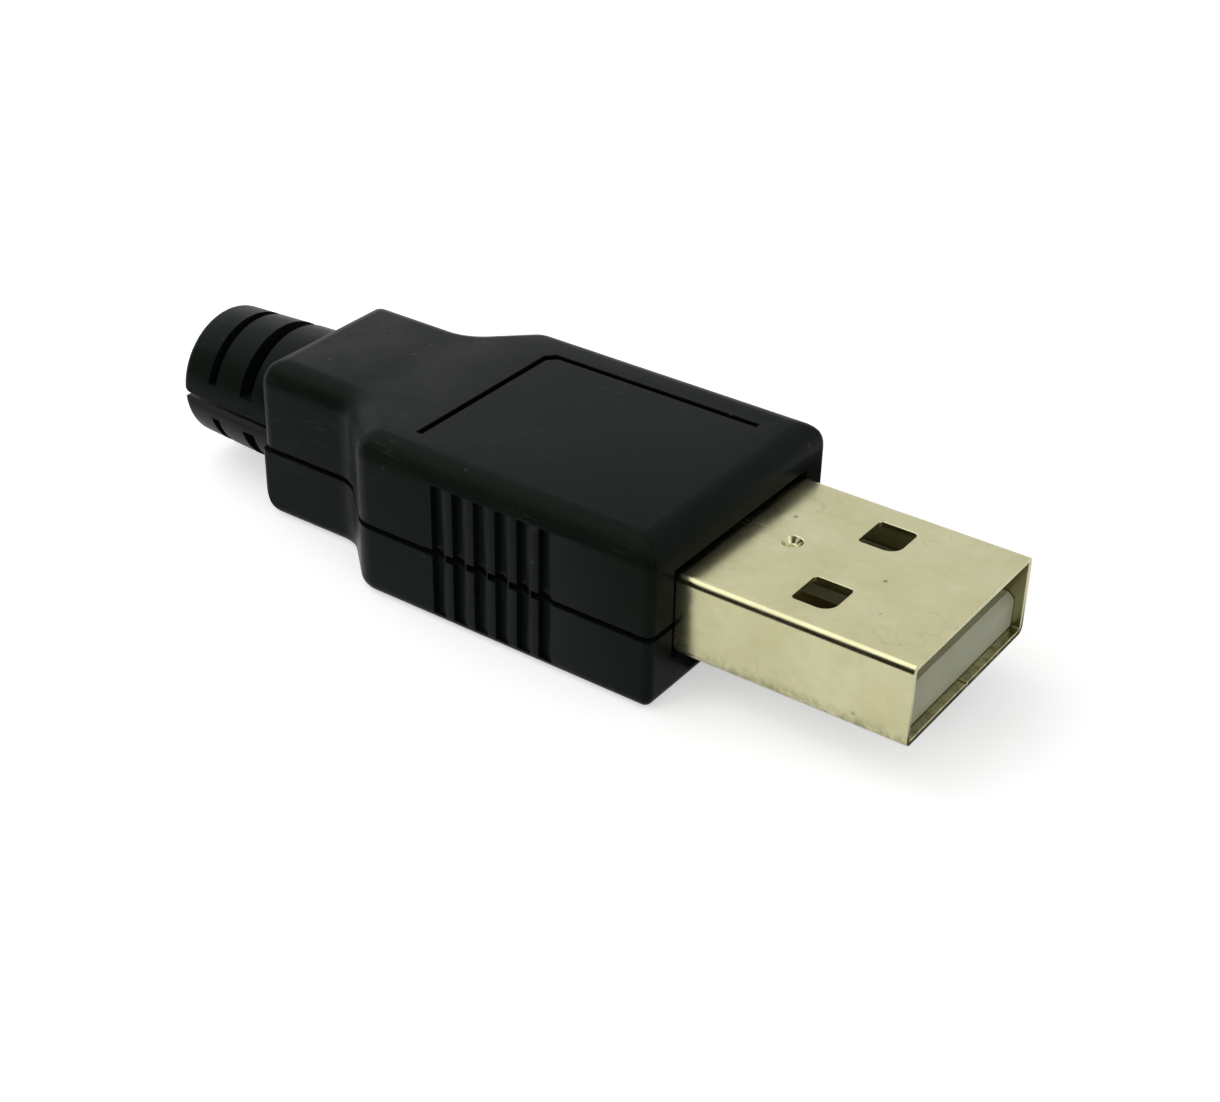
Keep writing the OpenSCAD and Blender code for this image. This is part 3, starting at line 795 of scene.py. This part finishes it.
@dataclass(frozen=True)
class Softbox:
    """One square lamp aimed at the plug: its place and side in metres, and its power in watts.

    A lamp that is not mirrored gives light but does not show in shiny surfaces.
    """

    name: str
    place: tuple[float, float, float]
    size: float
    power: float
    mirrored: bool = True

    def hang(self) -> bpy.types.Object:
        """Makes the lamp.

        Returns:
            The lamp's object.
        """
        data = bpy.data.lights.new(self.name, "AREA")
        data.shape = "SQUARE"
        data.size = self.size
        data.energy = self.power
        lamp = bpy.data.objects.new(self.name, data)
        bpy.context.scene.collection.objects.link(lamp)
        lamp.location = self.place
        lamp.visible_glossy = self.mirrored
        lamp.rotation_mode = "QUATERNION"
        lamp.rotation_quaternion = (-Vector(self.place)).to_track_quat("-Z", "Y")
        return lamp


@dataclass(frozen=True)
class Flag:
    """A dark card that shows only in reflections, upright or lying on the floor."""

    name: str
    low: tuple[float, float, float]
    high: tuple[float, float, float]
    tone: Colour = (0.16, 0.16, 0.14)

    def stand(self) -> bpy.types.Object:
        """Makes the card between two opposite corners, upright or lying.

        Returns:
            The card's object.
        """
        (x0, y0, z0), (x1, y1, z1) = self.low, self.high
        mesh = bpy.data.meshes.new(self.name)
        turn = y0 if z0 == z1 else y1
        mesh.from_pydata([(x0, y0, z0), (x1, turn, z0), (x1, y1, z1), (x0, y1 + y0 - turn, z1)],
                         [], [(0, 1, 2, 3)])
        card = bpy.data.objects.new(self.name, mesh)
        bpy.context.scene.collection.objects.link(card)
        made = bpy.data.materials.new(self.name)
        made.use_nodes = True
        sheet = Sheet(made.node_tree)
        cloudy = sheet.ramp(sheet.noise(sheet.add("ShaderNodeTexCoord").outputs["Object"], 3.0), 0.3, 0.7)
        tone = linear(self.tone)
        colour = sheet.blend(cloudy, tone, tuple(1.3 * c for c in tone[:3]) + (1.0,))
        shader = sheet.add("ShaderNodeEmission", {"Color": colour, "Strength": 1.0})
        out = sheet.add("ShaderNodeOutputMaterial")
        sheet.feed(out.inputs["Surface"], shader.outputs[0])
        mesh.materials.append(made)
        card.visible_camera = False
        card.visible_diffuse = False
        card.visible_shadow = False
        return card


@dataclass
class Studio:
    """Plain pale floor, soft lamps, four dark cards and the camera.

    The floor gives back less light to the object than it shows to the camera.
    """

    aim: Vector
    floor_half: float = 8.0
    floor_tone: Colour = (0.93, 0.93, 0.93)
    bounce_tone: Colour = (0.62, 0.63, 0.62)
    floor_lift: float = 0.5
    sky_light: float = 0.42
    azimuth: float = 34.812
    elevation: float = 31.931
    roll: float = 1.231
    distance: float = 97.472
    slide_right: float = -16.972
    slide_up: float = 4.62
    lens: float = 61.25
    softboxes: tuple[Softbox, ...] = (
        Softbox("key_softbox", (-0.31, -0.17, 0.55), 0.60, 1.1),
        Softbox("left_softbox", (-0.78, 0.42, 0.52), 0.70, 1.05),
        Softbox("side_softbox", (-0.42, -0.75, 0.22), 0.50, 2.6, False),
        Softbox("front_softbox", (0.62, -0.30, 0.42), 0.40, 0.55),
    )
    flags: tuple[Flag, ...] = (
        Flag("near_card", (-1.8, -0.9, 0.0), (0.8, -0.9, 1.30)),
        Flag("near_apron", (-1.8, -0.9, 0.0004), (0.8, -0.034, 0.0004)),
        Flag("far_apron", (0.0113, -0.004, 0.0002), (0.026, 0.022, 0.0002), (0.03, 0.03, 0.03)),
        Flag("side_card", (0.9, -0.9, 0.0), (0.9, 0.6, 0.30)),
    )

    def build(self) -> None:
        """Makes the floor, the world, the lamps, the cards and the camera."""
        self._floor()
        self._world()
        for softbox in self.softboxes:
            softbox.hang()
        for flag in self.flags:
            flag.stand()
        self._camera()
        bpy.context.scene.view_settings.view_transform = "Standard"

    def _seen(self, sheet: Sheet) -> bpy.types.NodeSocket:
        """1 for camera, glossy and transmission rays, else 0."""
        path = sheet.add("ShaderNodeLightPath")
        seen = sheet.math("MAXIMUM", path.outputs["Is Camera Ray"], path.outputs["Is Glossy Ray"])
        return sheet.math("MAXIMUM", seen, path.outputs["Is Transmission Ray"])

    def _floor(self) -> None:
        """A large pale floor that keeps the shadow."""
        mesh = bpy.data.meshes.new("floor")
        h = self.floor_half
        mesh.from_pydata([(-h, -h, 0.0), (h, -h, 0.0), (h, h, 0.0), (-h, h, 0.0)], [], [(0, 1, 2, 3)])
        floor = bpy.data.objects.new("floor", mesh)
        bpy.context.scene.collection.objects.link(floor)
        made = bpy.data.materials.new("pale_floor")
        made.use_nodes = True
        sheet = Sheet(made.node_tree)
        tone = sheet.blend(self._seen(sheet), linear(self.bounce_tone), linear(self.floor_tone))
        shader = sheet.add("ShaderNodeBsdfPrincipled", {"Base Color": tone, "Roughness": 0.9,
                                                        "Emission Color": (1, 1, 1, 1)})
        shader.inputs["Specular IOR Level"].default_value = 0.1
        lift = sheet.math("MULTIPLY", self._seen(sheet), self.floor_lift)
        sheet.feed(shader.inputs["Emission Strength"], lift)
        out = sheet.add("ShaderNodeOutputMaterial")
        sheet.feed(out.inputs["Surface"], shader.outputs[0])
        mesh.materials.append(made)

    def _world(self) -> None:
        """White where it is seen, and a soft even light on the object."""
        world = bpy.data.worlds.new("studio")
        bpy.context.scene.world = world
        world.use_nodes = True
        sheet = Sheet(world.node_tree)
        strength = sheet.ramp(self._seen(sheet), 0.0, 1.0, self.sky_light, 1.0)
        back = sheet.add("ShaderNodeBackground", {"Color": (1, 1, 1, 1), "Strength": strength})
        out = sheet.add("ShaderNodeOutputWorld")
        sheet.feed(out.inputs["Surface"], back.outputs[0])

    def _camera(self) -> None:
        """The camera, from its angles and distance in millimetres about the middle of the mouth."""
        data = bpy.data.cameras.new("camera")
        data.lens = self.lens
        data.sensor_width = 36.0
        data.clip_start = 0.005
        data.clip_end = 20.0
        camera = bpy.data.objects.new("camera", data)
        bpy.context.scene.collection.objects.link(camera)
        a, e, r = (math.radians(v) for v in (self.azimuth, self.elevation, self.roll))
        back = Vector((math.sin(a) * math.cos(e), -math.cos(a) * math.cos(e), math.sin(e)))
        level = (-back).cross(Vector((0.0, 0.0, 1.0))).normalized()
        upright = level.cross(-back)
        right = level * math.cos(r) + upright * math.sin(r)
        up = upright * math.cos(r) - level * math.sin(r)
        reach = back * self.distance + right * self.slide_right + up * self.slide_up
        turn = Matrix((right, up, back)).transposed().to_4x4()
        camera.matrix_world = Matrix.Translation(self.aim + reach * MM) @ turn
        bpy.context.scene.camera = camera


def main() -> None:
    """Builds the plug's looks and the studio from the boxes of the shell and the upper cover."""
    logging.basicConfig(level=logging.INFO, format="%(name)s: %(message)s")
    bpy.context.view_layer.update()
    groups = EffectGroups()
    shell_low, shell_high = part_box("plug_shell")
    nickel = NickelPlate(slot_x=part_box("upper_cover")[1].x, sole_z=shell_low.z)
    finishes = {Coating.BLACK_MOULDING: BlackMoulding(), Coating.NICKEL: nickel,
                Coating.WHITE_MOULDING: WhiteMoulding(), Coating.GOLD: GoldPlate()}
    made = {coating: finish.material(groups) for coating, finish in finishes.items()}
    jobs = (
        (Coating.BLACK_MOULDING, lambda: Housing().build(made[Coating.BLACK_MOULDING])),
        (Coating.NICKEL, lambda: MetalShell().build(made[Coating.NICKEL])),
        (Coating.WHITE_MOULDING, lambda: ContactBlock().build(made[Coating.WHITE_MOULDING],
                                                              made[Coating.GOLD])),
    )
    for coating, job in jobs:
        for piece in job():
            finish = next(c for c, m in made.items() if m is piece.data.materials[0])
            log.info("%s: %d faces, %s", piece.name, len(piece.data.polygons), finish.value)
    Studio(aim=Vector((shell_high.x, 0.0, (shell_low.z + shell_high.z) / 2))).build()
    bpy.context.view_layer.update()


if __name__ == "__main__":
    main()
